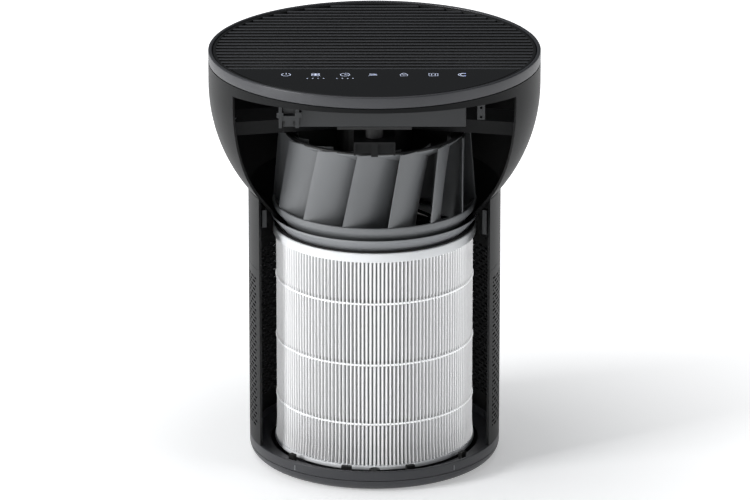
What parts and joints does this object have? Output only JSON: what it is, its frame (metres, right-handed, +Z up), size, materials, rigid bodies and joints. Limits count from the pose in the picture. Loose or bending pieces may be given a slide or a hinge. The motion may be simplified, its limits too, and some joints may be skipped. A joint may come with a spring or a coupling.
{
  "type": "air purifier",
  "caption": "Black round tower air purifier, sectioned at the front, with a wide bowl top, slatted outlet, touch panel, blower wheel and pleated ring filter.",
  "frame": {"origin": "centre of the footprint, on the floor", "axes": "+Z up along the fan axis, -Y the opened front with the touch panel, +X to the right seen from the front"},
  "size_m": [0.34, 0.34, 0.437],
  "materials": {
    "case_black": "fine moulded texture",
    "inner_black": "plain moulded",
    "panel_gloss": "polished",
    "fan_grey": "semi-matte moulded",
    "frame_grey": "semi-matte moulded",
    "filter_media": "pleated fibre sheet",
    "filter_rim": "soft moulded",
    "carbon": "granular",
    "rubber": "matte",
    "steel": "turned",
    "copper_winding": "lacquered wire",
    "board_green": "solder mask"
  },
  "bodies": {
    "housing": {"bowl_casing": "case_black", "rim_ring": "case_black", "outlet_grille": "case_black", "touch_panel": "panel_gloss", "control_box": "frame_grey", "display_board": "board_green", "power_board": "board_green", "wire_duct": "inner_black", "wire_clip": "frame_grey", "screw_tab": "frame_grey", "motor_bracket": "frame_grey", "bracket_screw_1": "steel", "bracket_screw_2": "steel", "bracket_screw_3": "steel", "bracket_screw_4": "steel", "motor_can": "inner_black", "motor_end_cap": "inner_black", "motor_stator": "copper_winding", "lower_bearing": "steel", "upper_bearing": "steel", "upper_collar": "case_black", "sensor_module": "inner_black", "intake_grille": "case_black", "base_ring": "case_black", "orifice_ring": "frame_grey", "inlet_guard": "inner_black", "cable_channel": "inner_black", "power_inlet": "inner_black", "collar_rib_left": "frame_grey", "collar_rib_right": "frame_grey", "locating_tab_left": "inner_black", "locating_tab_right": "inner_black", "front_stub": "inner_black", "cover_catch_left": "inner_black", "cover_catch_right": "inner_black"},
    "fan": {"impeller_wheel": "fan_grey", "impeller_shroud": "fan_grey", "motor_shaft": "steel", "shaft_nut": "steel", "motor_rotor": "steel"},
    "filter": {"filter_media": "filter_media", "filter_top_ring": "filter_rim", "filter_bottom_cap": "filter_rim", "carbon_sleeve": "carbon", "filter_core": "inner_black", "filter_gasket": "rubber"},
    "cover": {"cover_dish": "case_black", "foot_1": "rubber", "foot_2": "rubber", "foot_3": "rubber", "foot_4": "rubber"}
  },
  "joints": [
    {"name": "fan_spin", "type": "hinge", "parent": "housing", "child": "fan", "pos_m": [0, 0, 0.33], "axis": [0, 0, 1], "continuous": true},
    {"name": "filter_drop", "type": "slide", "parent": "housing", "child": "filter", "axis": [0, 0, -1], "range_m": [0, 0.26]},
    {"name": "cover_twist", "type": "hinge", "parent": "filter", "child": "cover", "pos_m": [0, 0, 0], "axis": [0, 0, -1], "range_deg": [0, 20]}
  ]
}
